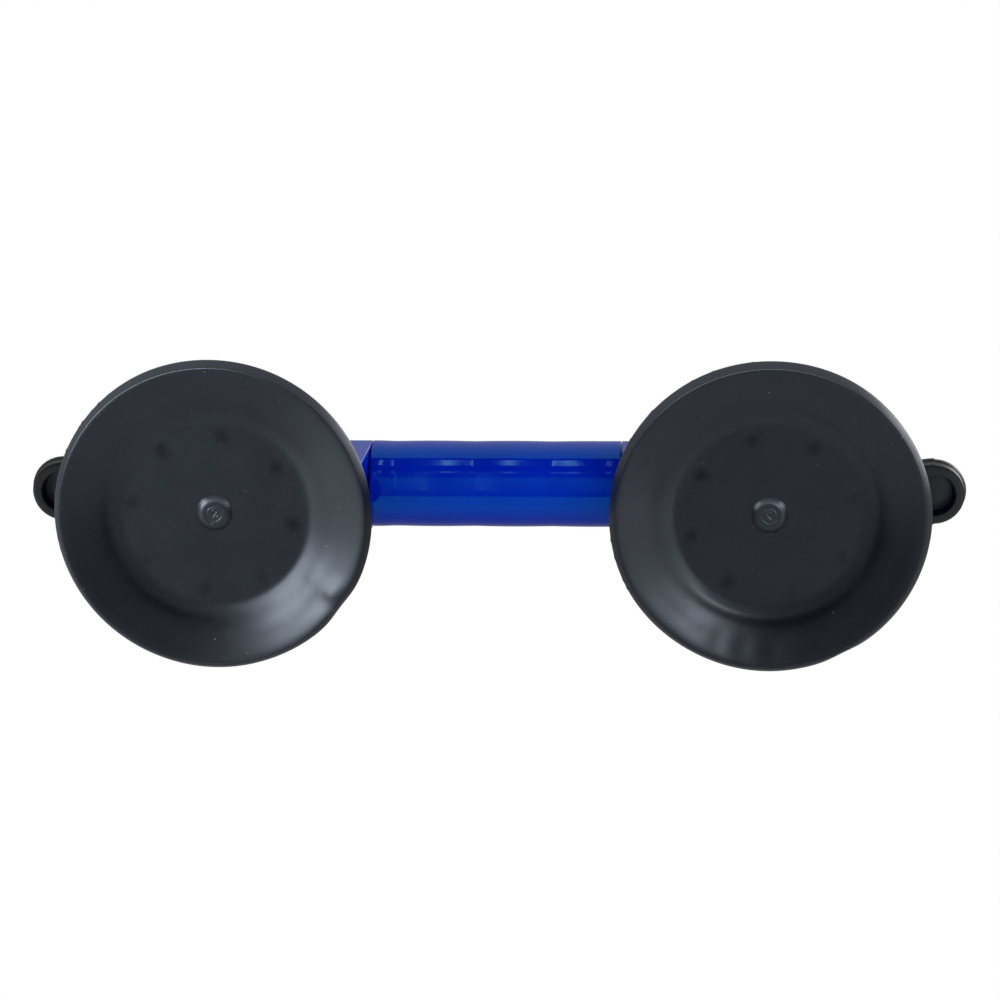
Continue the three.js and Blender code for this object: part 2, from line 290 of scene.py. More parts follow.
# ---------------------------------------------------------------- materials
class Surface:
    """A node material with one Principled shader."""

    def __init__(self, name, **settings):
        self.material = bpy.data.materials.new(name)
        self.material.use_nodes = True
        self.tree = self.material.node_tree
        self.shader = self.tree.nodes["Principled BSDF"]
        self.place = self.add("ShaderNodeTexCoord").outputs["Object"]
        for socket, value in settings.items():
            self.set(self.shader, socket.replace("_", " "), value)

    def set(self, node, socket, value):
        target = node.inputs[socket]
        if isinstance(value, bpy.types.NodeSocket):
            self.tree.links.new(value, target)
        else:
            target.default_value = value

    def add(self, kind, inputs=(), **options):
        node = self.tree.nodes.new(kind)
        for key, value in options.items():
            setattr(node, key, value)
        for socket, value in dict(inputs).items():
            self.set(node, socket, value)
        return node

    def noise(self, scale, detail, roughness):
        inputs = {"Vector": self.place, "Scale": scale, "Detail": detail, "Roughness": roughness}
        return self.add("ShaderNodeTexNoise", inputs).outputs["Fac"]

    def math(self, operation, a, b=0.0, c=0.0):
        return self.add("ShaderNodeMath", {0: a, 1: b, 2: c}, operation=operation).outputs[0]

    def ramp(self, value, low, high, out_low=0.0, out_high=1.0, smooth=False):
        node = self.add(
            "ShaderNodeMapRange",
            {"Value": value, "From Min": low, "From Max": high, "To Min": out_low, "To Max": out_high},
            interpolation_type="SMOOTHSTEP" if smooth else "LINEAR",
        )
        return node.outputs["Result"]

    def mix(self, factor, first, second):
        node = self.add("ShaderNodeMix", data_type="RGBA")
        self.set(node, 0, factor)
        self.set(node, 6, first)
        self.set(node, 7, second)
        return node.outputs[2]

    def specks(self, cell, size, share, seed, flat=True):
        """Round specks in a share of the cells, and a random value for each cell. Sizes in millimetres."""
        shift = (seed, seed * 0.7, seed * 0.3)
        place = self.add("ShaderNodeMapping", {"Vector": self.place, "Location": shift})
        node = self.add(
            "ShaderNodeTexVoronoi",
            {"Vector": place.outputs[0], "Scale": 1 / (cell * MM), "Randomness": 1.0},
            voronoi_dimensions="2D" if flat else "3D",
        )
        colour = self.add("ShaderNodeSeparateColor", {"Color": node.outputs["Color"]})
        reach = self.math("MULTIPLY", size / cell, colour.outputs["Green"])
        near = self.math("LESS_THAN", node.outputs["Distance"], reach)
        chosen = self.math("LESS_THAN", colour.outputs["Red"], share)
        return self.math("MULTIPLY", near, chosen), colour.outputs["Blue"]

    def bump_from(self, height, depth, normal=None):
        inputs = {"Height": height, "Distance": depth * MM, "Strength": 1.0}
        if normal is not None:
            inputs["Normal"] = normal
        return self.add("ShaderNodeBump", inputs).outputs["Normal"]


def painted_dimple_shade(s, side):
    """A mask of painted shade: soft blotches over the ring of keying-hole dimples, painted darker and
    mirroring less, in place of the shade that falls in the dimples.
    """
    centre = (SIDES[side] * HEAD_X * MM, 0, 0)
    local = s.add("ShaderNodeVectorMath", {0: s.place, 1: centre}, operation="SUBTRACT").outputs[0]
    split = s.add("ShaderNodeSeparateXYZ", {"Vector": local})
    radius = s.add("ShaderNodeVectorMath", {0: local}, operation="LENGTH").outputs["Value"]
    angle = s.math("ARCTAN2", split.outputs["Y"], split.outputs["X"])
    along = s.math("PINGPONG", s.math("SUBTRACT", angle, DIMPLE_TURN[side]), TURN / (2 * DIMPLES))
    along = s.math("MULTIPLY", along, DIMPLE_RING * MM)
    across = s.math("SUBTRACT", radius, DIMPLE_RING * MM)
    squares = s.math("ADD", s.math("MULTIPLY", along, along), s.math("MULTIPLY", across, across))
    core, border, raggedness, face_top = 0.0020, 0.0066, 0.0040, 0.0095
    ragged = s.math("MULTIPLY_ADD", s.noise(420, 3, 0.6), raggedness, s.math("SQRT", squares))
    # the painted shade is strongest at each dimple's centre and fades out to a ragged edge
    shade_blotch = s.ramp(ragged, core, border, 1.0, 0.0, smooth=True)
    underside = s.math("LESS_THAN", split.outputs["Z"], face_top)
    strength = s.ramp(s.noise(34, 1, 0.5), 0.38, 0.62, 0.25, 1.0)
    return s.math("MULTIPLY", s.math("MULTIPLY", shade_blotch, underside), strength)


def rubber_material(side, seed):
    """Moulded black rubber with a satin skin, fine dust, faint wiping marks, and painted shade over the
    dimples.
    """
    s = Surface(f"pad_rubber_{seed}", IOR=1.5)
    s.shader.inputs["Specular Tint"].default_value = (0.75, 0.855, 1.0, 1)
    dark, light = (0.0041, 0.0057, 0.0084, 1), (0.0062, 0.0083, 0.0120, 1)
    shade = s.mix(s.ramp(s.noise(38, 3, 0.55), 0.35, 0.65), dark, light)
    # dust and grit lie on level rubber only
    dust, dust_tint = s.specks(2.3, 0.16, 0.22, seed)
    grit, grit_tint = s.specks(6.1, 0.34, 0.12, seed + 11)
    facing = s.add("ShaderNodeSeparateXYZ", {"Vector": s.add("ShaderNodeNewGeometry").outputs["Normal"]})
    flat = s.math("GREATER_THAN", s.math("ABSOLUTE", facing.outputs["Z"]), 0.6)
    dust = s.math("MULTIPLY", s.math("MULTIPLY", dust, flat), 0.35)
    grit = s.math("MULTIPLY", s.math("MULTIPLY", grit, flat), 0.42)
    powder = s.mix(dust_tint, (0.20, 0.17, 0.13, 1), (0.16, 0.20, 0.24, 1))
    black, sand = (0.004, 0.004, 0.005, 1), (0.26, 0.23, 0.18, 1)
    crumb = s.mix(s.math("GREATER_THAN", grit_tint, 0.45), black, sand)
    shade = s.mix(grit, s.mix(dust, shade, powder), crumb)
    marks = painted_dimple_shade(s, side)
    # painted shade: the base colour is darkened over the dimples
    shade = s.mix(s.math("MULTIPLY", marks, 0.6), shade, (0.0012, 0.0016, 0.0024, 1))
    s.set(s.shader, "Base Color", shade)
    # painted darker reflection: the specular level is lowered over the dimples
    s.set(s.shader, "Specular IOR Level", s.math("MULTIPLY_ADD", marks, -0.22, 0.5))
    wiped = s.ramp(s.noise(90, 4, 0.6), 0.3, 0.7, 0.29, 0.35)
    dull = s.math("MULTIPLY", s.math("ADD", dust, grit), 0.3)
    s.set(s.shader, "Roughness", s.math("ADD", wiped, dull))
    grain = s.bump_from(s.noise(2600, 3, 0.6), 0.0045)
    s.set(s.shader, "Normal", s.bump_from(s.noise(85, 2, 0.5), 0.035, grain))
    return s.material


def blue_plastic_material():
    """Glossy blue moulded plastic with a faint flow pattern and a little dust."""
    s = Surface("blue_plastic", Roughness=0.07, IOR=1.5)
    s.shader.inputs["Specular Tint"].default_value = (0.08, 1.0, 0.65, 1)
    dark, light = (0.0002, 0.012, 0.42, 1), (0.0003, 0.018, 0.51, 1)
    shade = s.mix(s.ramp(s.noise(30, 2, 0.5), 0.3, 0.7), dark, light)
    dust = s.specks(7, 0.30, 0.3, 5, flat=False)[0]
    s.set(s.shader, "Base Color", s.mix(s.math("MULTIPLY", dust, 0.5), shade, (0.12, 0.22, 0.42, 1)))
    s.set(s.shader, "Roughness", s.ramp(s.noise(60, 4, 0.6), 0.35, 0.75, 0.05, 0.12))
    s.set(s.shader, "Normal", s.bump_from(s.noise(420, 2, 0.5), 0.0022))
    return s.material


def black_plastic_material():
    """Black moulded plastic with a fine spark-eroded grain."""
    s = Surface("black_plastic", IOR=1.5)
    dark, light = (0.012, 0.0135, 0.018, 1), (0.017, 0.019, 0.025, 1)
    shade = s.mix(s.ramp(s.noise(55, 3, 0.6), 0.35, 0.65), dark, light)
    dust = s.specks(5, 0.35, 0.35, 3, flat=False)[0]
    s.set(s.shader, "Base Color", s.mix(s.math("MULTIPLY", dust, 0.4), shade, (0.15, 0.14, 0.13, 1)))
    s.set(s.shader, "Roughness", s.ramp(s.noise(140, 4, 0.6), 0.3, 0.7, 0.40, 0.50))
    grain = s.bump_from(s.noise(1500, 3, 0.65), 0.010)
    s.set(s.shader, "Normal", s.bump_from(s.noise(160, 2, 0.5), 0.02, grain))
    return s.material


def zinc_material():
    """Zinc plated steel, slightly mottled."""
    s = Surface("zinc_steel", Metallic=1.0)
    dark, light = (0.42, 0.43, 0.45, 1), (0.58, 0.59, 0.60, 1)
    s.set(s.shader, "Base Color", s.mix(s.ramp(s.noise(180, 4, 0.6), 0.3, 0.7), dark, light))
    s.set(s.shader, "Roughness", s.ramp(s.noise(600, 3, 0.6), 0.3, 0.7, 0.25, 0.45))
    s.set(s.shader, "Normal", s.bump_from(s.noise(900, 2, 0.5), 0.006))
    return s.material


def bright_material():
    """Turned steel with fine tool marks."""
    s = Surface("bright_steel", Metallic=1.0)
    dark, light = (0.55, 0.56, 0.57, 1), (0.66, 0.67, 0.68, 1)
    s.set(s.shader, "Base Color", s.mix(s.ramp(s.noise(220, 3, 0.6), 0.3, 0.7), dark, light))
    s.set(s.shader, "Roughness", s.ramp(s.noise(420, 3, 0.6), 0.3, 0.7, 0.16, 0.30))
    s.set(s.shader, "Normal", s.bump_from(s.noise(1500, 2, 0.6), 0.003))
    return s.material


def nylon_material():
    """Natural nylon, slightly waxy."""
    s = Surface("nylon", IOR=1.53)
    dark, light = (0.62, 0.60, 0.52, 1), (0.72, 0.70, 0.63, 1)
    s.set(s.shader, "Base Color", s.mix(s.noise(150, 3, 0.6), dark, light))
    s.set(s.shader, "Roughness", s.ramp(s.noise(500, 3, 0.6), 0.3, 0.7, 0.38, 0.52))
    s.shader.inputs["Subsurface Weight"].default_value = 0.2
    s.shader.inputs["Subsurface Radius"].default_value = (0.002, 0.0016, 0.001)
    s.set(s.shader, "Normal", s.bump_from(s.noise(1200, 2, 0.6), 0.005))
    return s.material


RUBBER = {"right": rubber_material("right", 2), "left": rubber_material("left", 1)}
BLUE = blue_plastic_material()
BLACK = black_plastic_material()
ZINC = zinc_material()
BRIGHT = bright_material()
NYLON = nylon_material()
SLOT_MATERIALS = {"zinc_steel": ZINC, "bright_steel": BRIGHT, "nylon": NYLON}


# ---------------------------------------------------------------- rubber pads
# Radius and height of the underside, from the centre nub out to the sealing edge.
FACE_OUTLINE = [
    (6.6, 7.95), (34.3, 7.95), (36.0, 7.78), (37.5, 7.35), (39.0, 6.78), (40.5, 6.15), (42.0, 5.47),
    (43.5, 4.78), (45.0, 4.13), (47.0, 3.33), (50.0, 2.27), (56.3, 0.16), (57.0, 0.02),
]
PAD_THICKNESS = 1.3
NUB_R = 7.05
NUB_BACK = 9.25
NUB_INNER = 0.12  # the nub's rings start here, and close on its centre
NUB_RING = 10.3
# Radius, width and depth of the hollow that runs part of the way round beside the disc.
HOLLOW_R, HOLLOW_WIDTH, HOLLOW_DEPTH = 39.8, 2.3, 0.36
# For each pad: the seed of its unevenness; the middle and half spread of its hollow; the arc where moulding
# flash clings to its rim, and how many crumbs; the place, depth and width of a dent in its rim. Angles are
# in degrees, apart from the dent's width, which is in radians.
PADS = {
    "left": {"seed": 4, "hollow": (152, 46), "flash": (165, 235, 14), "dent": (37, 0.9, 0.13)},
    "right": {"seed": 9, "hollow": (33, 98), "flash": (150, 265, 16), "dent": (62, 0.5, 0.10)},
}
LEFT_FOLD = math.radians(33.5)
# Ripples in the right pad's cone: place in degrees, height and width. They all lie at one radius.
RIGHT_RIPPLES = ((66, 0.17, 4.2), (88, 0.21, 4.0), (101, 0.14, 3.4), (112, 0.11, 3.0))
RIPPLE_R = 51


def angle_between(a, b):
    return (a - b + math.pi) % TURN - math.pi


def slow_wave(angle, seed, orders):
    """A smooth periodic wave around the pad, between about -1 and 1."""
    rng = np.random.default_rng(seed)
    phases = rng.uniform(0, TURN, len(orders))
    weights = rng.uniform(0.5, 1, len(orders))
    wave = sum(w * np.cos(k * angle + p) for w, k, p in zip(weights, orders, phases))
    return wave / weights.sum()


def rim_shift(side, angle):
    """How far the flared rim leans out of round, in millimetres."""
    sway = 0.16
    shift = sway * slow_wave(angle, PADS[side]["seed"] + 1, (2, 3, 5, 7)) - sway
    place, depth, width = PADS[side]["dent"]
    return shift - depth * bump(angle_between(angle, math.radians(place)), width)


def softened(outline, width, step=0.1):
    """Fine (x, y) points along an outline, with its bends eased over a width."""
    x = np.arange(outline[0][0], outline[-1][0] + step / 2, step)
    y = curve_through(outline, x)
    reach = int(3 * width / step)
    kernel = bump(np.arange(-reach, reach + 1) * step, width * math.sqrt(2))
    eased = np.convolve(np.pad(y, reach, mode="edge"), kernel / kernel.sum(), mode="valid")
    keep = smooth_step(x[0] + 1, x[0] + 4, x) * (1 - smooth_step(x[-1] - 4, x[-1] - 2, x))
    return x, y + (eased - y) * keep


FACE_CURVE = softened(FACE_OUTLINE, 0.6)


def face_height(side, r, angle):
    """Height of the pad's underside at a radius and angle about its centre."""
    seed = PADS[side]["seed"]
    z = np.interp(r, *FACE_CURVE)
    for k in range(DIMPLES):
        at = k * TURN / DIMPLES + DIMPLE_TURN[side]
        across_x = r * np.cos(angle) - DIMPLE_RING * math.cos(at)
        across_y = r * np.sin(angle) - DIMPLE_RING * math.sin(at)
        depth = 0.20 + 0.08 * math.sin(3.1 * k + seed)
        z = z + depth * bump(np.hypot(across_x, across_y), DIMPLE_WIDTH)
    z = z + 0.025 * bump(r - NUB_RING, 0.35)
    middle, spread = np.radians(PADS[side]["hollow"])
    away = np.abs(angle_between(angle, middle))
    part = 1 - smooth_step(spread - 0.2, spread + 0.35, away)
    z = z + HOLLOW_DEPTH * bump(r - HOLLOW_R, HOLLOW_WIDTH) * part
    # the disc and the cone are each a little uneven
    disc = smooth_step(12, 20, r) * (1 - smooth_step(31, 35, r))
    z = z + 0.08 * disc * slow_wave(angle + 0.05 * r, seed + 2, (2, 3, 4, 6)) * (r / 34)
    cone = smooth_step(40, 46, r) * (1 - smooth_step(53, 57, r))
    z = z + 0.11 * cone * slow_wave(angle + 0.01 * r, seed + 3, (2, 3, 4, 5, 7))
    if side == "left":
        # a pinched fold that runs out towards the rim, steeper on one side, with a swelling beside it
        off = r * angle_between(angle, LEFT_FOLD)
        fold = np.where(off < 0, bump(off, 4.8), bump(off, 3.2))
        z = z - fold * (0.16 * bump(r - 44.5, 4.0) + 0.42 * bump(r - 52.8, 3.4))
        z = z + 0.16 * bump(r - 50, 3.5) * bump(off - 7.5, 4.5)
    else:
        for place, strength, width in RIGHT_RIPPLES:
            off = r * angle_between(angle, math.radians(place))
            z = z - strength * bump(off, width) * bump(r - RIPPLE_R, 5.0)
    return np.maximum(z, 0.02)


def polar_sheet(radii, steps, height):
    """Points of a sheet given by height(r, angle), ring by ring."""
    angle = np.arange(steps) * TURN / steps
    r, a = np.meshgrid(radii, angle, indexing="ij")
    return np.column_stack(((r * np.cos(a)).ravel(), (r * np.sin(a)).ravel(), height(r, a).ravel()))


def pad_face(side, steps=420):
    """The flexible underside: dimpled disc, hollow and sealing cone, as a closed thin shell."""
    inner, outer = FACE_OUTLINE[0][0], FACE_OUTLINE[-1][0]
    radii = np.concatenate((
        np.linspace(inner, 12, 22)[:-1],
        np.linspace(12, 25.5, 20)[:-1],
        np.linspace(25.5, 46, 64)[:-1],
        np.linspace(46, outer - 1.4, 30)[:-1],
        np.linspace(outer - 1.4, outer, 8),
    ))
    under = polar_sheet(radii, steps, lambda r, a: face_height(side, r, a))
    back_radii = [56.2, 50, 44, 41, 38, 36, 34, 30, 20, inner]

    def back_height(r, a):
        thickness = np.minimum(0.05 + 0.5 * (outer - r), PAD_THICKNESS)
        return np.interp(r, *FACE_CURVE) + thickness + 0.02

    points = np.vstack((under, polar_sheet(back_radii, steps, back_height)))
    faces = loop_faces(len(radii) + len(back_radii), steps)[:, ::-1]
    return points + (SIDES[side] * HEAD_X, 0, 0), faces


def pad_nub(side, steps=200):
    """The centre nub under the rivet, with its turned groove and gate mark."""
    seed = PADS[side]["seed"]
    outline = [
        (0, 6.95), (0.3, 6.88), (0.75, 6.62), (1.1, 6.50), (2.55, 6.47), (2.72, 6.60), (2.88, 6.60),
        (3.05, 6.46), (3.9, 6.44), (4.6, 6.52), (5.4, 6.82), (6.1, 7.26), (6.6, 7.66), (6.9, 7.93),
        (NUB_R, 8.08),
    ]
    radii = np.concatenate((np.linspace(NUB_INNER, 3.4, 34)[:-1], np.linspace(3.4, NUB_R, 44)))

    def height(r, a):
        z = curve_through(outline, r)
        torn = 0.10 * np.cos(4 * a + seed) + 0.06 * slow_wave(a, seed + 5, (2, 3, 5))
        gate = bump(r - 1.15, 0.45) * torn
        star = bump(r - 2.0, 0.5) * slow_wave(a, seed + 6, (3, 4, 6)) * 0.06
        return z + gate + star

    under = polar_sheet(radii, steps, height)
    back = polar_sheet([NUB_R, NUB_INNER], steps, lambda r, a: np.full(r.shape, NUB_BACK))
    points = np.vstack((under, back, [(0, 0, NUB_BACK), (0, 0, outline[0][1])]))
    rings = len(radii) + 2
    faces = [tuple(q) for q in ring_faces(rings, steps)[:, ::-1]]
    top, low = len(points) - 2, len(points) - 1
    last = (rings - 1) * steps
    for k in range(steps):
        n = (k + 1) % steps
        faces.append((last + k, last + n, top))
        faces.append((n, k, low))
    return points + (SIDES[side] * HEAD_X, 0, 0), faces


def pad_skirt(side, steps=420):
    """The flared rim outside the sealing edge, with traces of moulding flash along part of it."""
    outline = rounded([
        (56.7, 0.42, 0), (56.9, 0.02, 0.05), (SEAL_R, 0.0, 0.50), (PAD_R, 4.2, 1.2),
        (PAD_R - 0.45, 6.1, 0.5), (PAD_R - 1.7, PAD_TOP, 0.7), (BELL_R - 4, PAD_TOP, 0.4),
        (BELL_R - 5.5, 6.3, 0.4), (56.0, 2.1, 0),
    ], 4)
    angle = np.arange(steps) * TURN / steps
    shift = rim_shift(side, angle)
    rng = np.random.default_rng(PADS[side]["seed"] + 20)
    crumbs = np.zeros(steps)
    first, last, count = PADS[side]["flash"]
    for spot in rng.uniform(math.radians(first), math.radians(last), count):
        crumbs += rng.uniform(0.10, 0.45) * bump(angle_between(angle, spot), rng.uniform(0.004, 0.012))
    points = []
    for r, z in outline:
        lean = smooth_step(SEAL_R - 1.2, PAD_R, r) if z < 6.6 else smooth_step(53, 58, r)
        sag = smooth_step(0, 4, z)
        flash = bump(z - 5.0, 0.9) * (r > PAD_R - 1) * crumbs
        radius = np.minimum(r + shift * lean * (0.35 + 0.65 * sag) + flash, PAD_R)
        points.append(np.column_stack((radius * np.cos(angle), radius * np.sin(angle), np.full(steps, z))))
    return np.vstack(points) + (SIDES[side] * HEAD_X, 0, 0), loop_faces(len(outline), steps)


def pad_boss(side):
    """The thick rubber collar bonded round the backing plate, hidden under the bell."""
    outline = rounded([
        (34.7, 9.4, 0.2), (40.5, 8.0, 0.5), (42.5, 9.2, 0.8), (39.6, 12.2, 0.6), (38.6, 14.4, 0.6),
        (34.7, 14.4, 0.3),
    ], 4)
    points, faces = turned(outline, 128)
    return points + (SIDES[side] * HEAD_X, 0, 0), faces


def make_pad(side):
    material = RUBBER[side]
    node = f"{side}_rubber_pad"
    face = make_object(f"{side}_pad_face", *pad_face(side), material)
    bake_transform(face)
    pieces = [face]
    for name, shape, body in (
        ("pad_skirt", pad_skirt, "lifter_frame"),
        ("pad_nub", pad_nub, f"{side}_pull"),
        ("pad_boss", pad_boss, f"{side}_pull"),
    ):
        pieces.append(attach(make_object(f"{side}_{name}", *shape(side), material), body))
    for piece in pieces:
        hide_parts(node)


# ---------------------------------------------------------------- blue housings and grip
def bell_distance(r, z):
    """Outside of the bell: a flat crown that rolls over into an upright skirt."""
    crown, body_r, power = 24.5, BELL_R - 0.8, 1.55
    across = np.maximum(r - crown, 0) / (body_r - crown)
    up = np.maximum(z - BELL_FOOT, 0) / (BELL_TOP - BELL_FOOT)
    shape = (across**power + up**power) ** (1 / power)
    return (shape - 1) * (body_r - crown)


def block_distance(x, y, z, inset=0.0):
    """The upright block that carries the grip: a round-topped section, cut by the wall under the grip."""
    half = GRIP_R - inset
    section = np.where(z > GRIP_Z, np.hypot(y, z - GRIP_Z), np.abs(y)) - half
    rise = np.clip((z - BELL_TOP) / (GRIP_Z + GRIP_R - BELL_TOP), -0.5, 1.3)
    back = -15 - 17 * rise + 12 * rise * (1 - rise) * (2 * rise - 1)
    outer = (x - back + inset) * 0.88
    lean = 1.6 * np.clip((GRIP_Z - z) / (GRIP_Z - BELL_FOOT - 2), 0, 1)
    wall = (GRIP_HALF - HEAD_X) + lean
    inner = wall + inset - x
    return section, outer, inner


def housing_distance(x, y, z):
    """Bell and block in one shell, with the stem's boss, the grip's socket and the screw's seat."""
    r = np.hypot(x, y)
    # the bell with a lip round its foot, and the block that grows out of it
    bell = bell_distance(r, z)
    lip = np.maximum(r - BELL_R, z - BELL_FOOT - 2.2)
    bell = soft_min(bell, lip, 1.2)
    section, outer, inner = block_distance(x, y, z)
    block = soft_max(soft_max(section, outer, 4.0), inner, 0.8)
    block = np.maximum(block, BELL_FOOT + 2 - z)
    near_cam = smooth_step(-32, -20, x)
    solid = soft_min(bell, block, 7.0 - 4.5 * near_cam)
    solid = soft_max(solid, BELL_FOOT - z, 1.0)
    # the hollow inside, around the stem's boss
    boss_r, boss_foot = 12, 22
    boss = soft_max(r - boss_r, boss_foot - z, 1.0)
    cavity = soft_max(bell_distance(r, z) + WALL, -boss, 1.0)
    section, outer, inner = block_distance(x, y, z, WALL)
    pocket = np.maximum(np.maximum(section, inner), np.maximum(z - 31, 13 - z))
    pocket = np.maximum(pocket, np.maximum(x + 20, -boss))
    cavity = soft_min(cavity, pocket, 1.5)
    solid = soft_max(solid, -cavity, 0.6)
    # the grip's socket, the bush's hole, and the screw's hole and seat
    socket_r, socket_depth, bush_r = 12.3, 12.6, 8.3
    socket = np.maximum(np.hypot(y, z - GRIP_Z) - socket_r, x - (GRIP_HALF - HEAD_X) - socket_depth)
    solid = soft_max(solid, -socket, 0.5)
    solid = soft_max(solid, bush_r - r, 0.5)
    screw = np.hypot(x - (SCREW_X - HEAD_X), y)
    hole_r, seat_r, seat_depth = 2.0, 4.1, 2.9
    hole = np.maximum(screw - hole_r, GRIP_Z - z)
    seat = np.maximum(screw - seat_r, GRIP_Z + GRIP_R - seat_depth - z)
    solid = soft_max(solid, -np.minimum(hole, seat), 0.5)
    return solid


def make_housings():
    points, faces, normals = surface_net(housing_distance, (-57, -52.5, 7), (52.5, 52.5, 68.5), 0.85)
    for side, flip in SIDES.items():
        facing = normals * (flip, flip, 1)
        housing = make_object(f"{side}_bell_housing", placed(points, side), faces, BLUE, facing)
        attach(housing, "lifter_frame")
        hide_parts(f"{side}_head_housing")


def grip_swell(x, angle):
    """Shallow unevenness of the moulded grip: sink marks that repeat along its length."""
    depth, period, first = 0.19, 30.0, 6.5
    arch = np.sqrt(np.cos(math.pi * (x - first) / period) ** 2 + 0.09**2)
    drift = 0.015 * np.cos(2 * angle + 0.6 + x / 30) + 0.006 * np.cos(angle * 3 + x / 11)
    ends = 1 - smooth_step(GRIP_HALF - 9, GRIP_HALF - 2, np.abs(x))
    return (depth * (arch - 1.02) - 0.03 + drift) * ends


def make_grip():
    """The round grip bar with reduced spigots inside the housings."""
    steps, shoulder, spigot, bore = 160, GRIP_HALF - 0.12, 12.0, 9.0
    end = grip_high[0]
    half = [(bore, -end), (spigot - 0.6, -end), (spigot, -end + 0.6), (spigot, -shoulder)]
    half += [(GRIP_R - 0.15, -shoulder), (GRIP_R - 0.04, -shoulder + 0.04), (GRIP_R, -shoulder + 0.15)]
    middle = [(GRIP_R, x) for x in np.linspace(-shoulder + 1.2, shoulder - 1.2, 180)]
    outline = np.array(half + middle + [(r, -x) for r, x in reversed(half)])
    angle = np.arange(steps) * TURN / steps
    rings = []
    for r, x in outline:
        radius = r + (grip_swell(x, angle) if r > spigot + 1 else 0 * angle)
        height = radius * np.sin(angle) + GRIP_Z
        rings.append(np.column_stack((np.full(steps, x), radius * np.cos(angle), height)))
    faces = loop_faces(len(outline), steps)[:, ::-1]
    grip = make_object("grip_tube", np.vstack(rings), faces, BLUE)
    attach(grip, "lifter_frame")
    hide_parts("grip_bar")


# ---------------------------------------------------------------- levers
# Height of the arm's upper and lower edges, and of the hollow under it, along its length from the pin.
LEVER_TOP = [
    (-13, 8.0), (0, 8.0), (8, 7.4), (16, 5.6), (26, 3.1), (36, 0.6), (44, -1.2), (52, -2.3), (58, -2.7),
    (90, -2.7),
]
LEVER_UNDER = [
    (-13, -9.0), (7, -9.6), (14, -7.8), (20, -7.3), (28, -7.8), (36, -8.9), (43, -10.3), (49, -11.3),
    (54, TIP_FOOT), (90, TIP_FOOT),
]
LEVER_ROOF = [(10, 3.5), (13, 2.6), (26, -0.4), (40, -4.2), (47, -5.6), (90, -5.6)]


def cam_distance(x, z):
    """The cam about the pin: its reach falls evenly from the foot to the back."""
    angle = np.arctan2(-x, -z)
    turn = np.clip(angle, 0, math.pi / 2)
    reach = CAM_FOOT - PULL_STROKE * turn / (math.pi / 2)
    swell = np.where(angle > math.pi / 2, CAM_BACK, reach)
    swell = np.where(angle < 0, CAM_FOOT - (CAM_FOOT - CAM_BACK) * smooth_step(0, 1.4, -angle), swell)
    return np.hypot(x, z) - swell + CAM_GAP


def lever_distance(x, y, z):
    """The locked lever, from the pin: a cam fork, an arm hollowed from below, and a round finger tip."""
    z = z - PIN_Z
    w = np.abs(y)
    waist = 1.5 * bump(x - 33, 13)
    half = 11.3 - waist
    tip = np.hypot(x - LEVER_REACH, y) - TIP_R
    plan = np.where(x < LEVER_REACH, soft_min(w - half, tip, 3.0), tip)
    over = (z - curve_through(LEVER_TOP, x)) * 0.97
    under = (curve_through(LEVER_UNDER, x) - z) * 0.97
    crown = np.hypot(x, z) - CAM_BACK
    arm = soft_max(soft_max(over, under, 2.6), -x - 1, 0.5)
    side_shape = soft_min(arm, np.minimum(cam_distance(x, z), crown), 1.5)
    # the finger tip is a plain disc with a stepped, slightly drafted edge
    flange = bump(z + 5.2, 0.55) * 0.32 * smooth_step(46, 54, x)
    step = 0.55 * smooth_step(-6.4, -7.0, z) * smooth_step(48, 56, x)
    body = soft_max(side_shape, plan - flange + step, 1.5)
    # the fork's slot for the stem's eye, and the trough under the arm
    slot_half, slot_end = 6.1, 9.5
    slot = np.maximum(np.maximum(w - slot_half, x - slot_end), -x - 20)
    body = soft_max(body, -slot, 1.0)
    trough = soft_max(w - 7.4 + waist, np.maximum(13 - x, x - 45), 3.0)
    trough = soft_max(trough, z - curve_through(LEVER_ROOF, x), 1.5)
    body = soft_max(body, -trough, 0.8)
    # a drafted, domed dish under the finger tip
    dish_r, dish_edge = np.hypot(x - LEVER_REACH, y), 8.0
    floor = -6.9 + 0.55 * (dish_r / dish_edge) ** 2
    dish = soft_max(dish_r - dish_edge + 0.12 * (z - TIP_FOOT), z - floor, 1.2)
    body = soft_max(body, -dish, 0.5)
    bore_r = 2.65
    return soft_max(body, bore_r - np.hypot(x, z), 0.5)


def make_levers():
    low, high = (-13.5, -14.2, PIN_Z - 13.5), (77.5, 14.2, PIN_Z + 9.5)
    points, faces, normals = surface_net(lever_distance, low, high, 0.5)
    for side, flip in SIDES.items():
        facing = normals * (flip, flip, 1)
        lever = make_object(f"{side}_cam_lever", placed(points, side), faces, BLACK, facing)
        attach(lever, f"{side}_lever_arm")
        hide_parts(f"{side}_lever")


# ---------------------------------------------------------------- metal and nylon parts kept from the CAD
def finish_cad_nodes():
    """Gives the nodes that keep their CAD shape the finishes of this file."""
    for side in SIDES:
        for node, slot in (
            ("guide_bush", "nylon"), ("wear_plate", "bright_steel"), ("backing_plate", "zinc_steel"),
            ("pull_stem", "zinc_steel"), ("hinge_pin", "bright_steel"), ("pin_clip", "bright_steel"),
            ("grip_screw", "zinc_steel"),
        ):
            mesh = frame["nodes"][f"{side}_{node}"].data
            mesh.materials.clear()
            mesh.materials.append(SLOT_MATERIALS[slot])


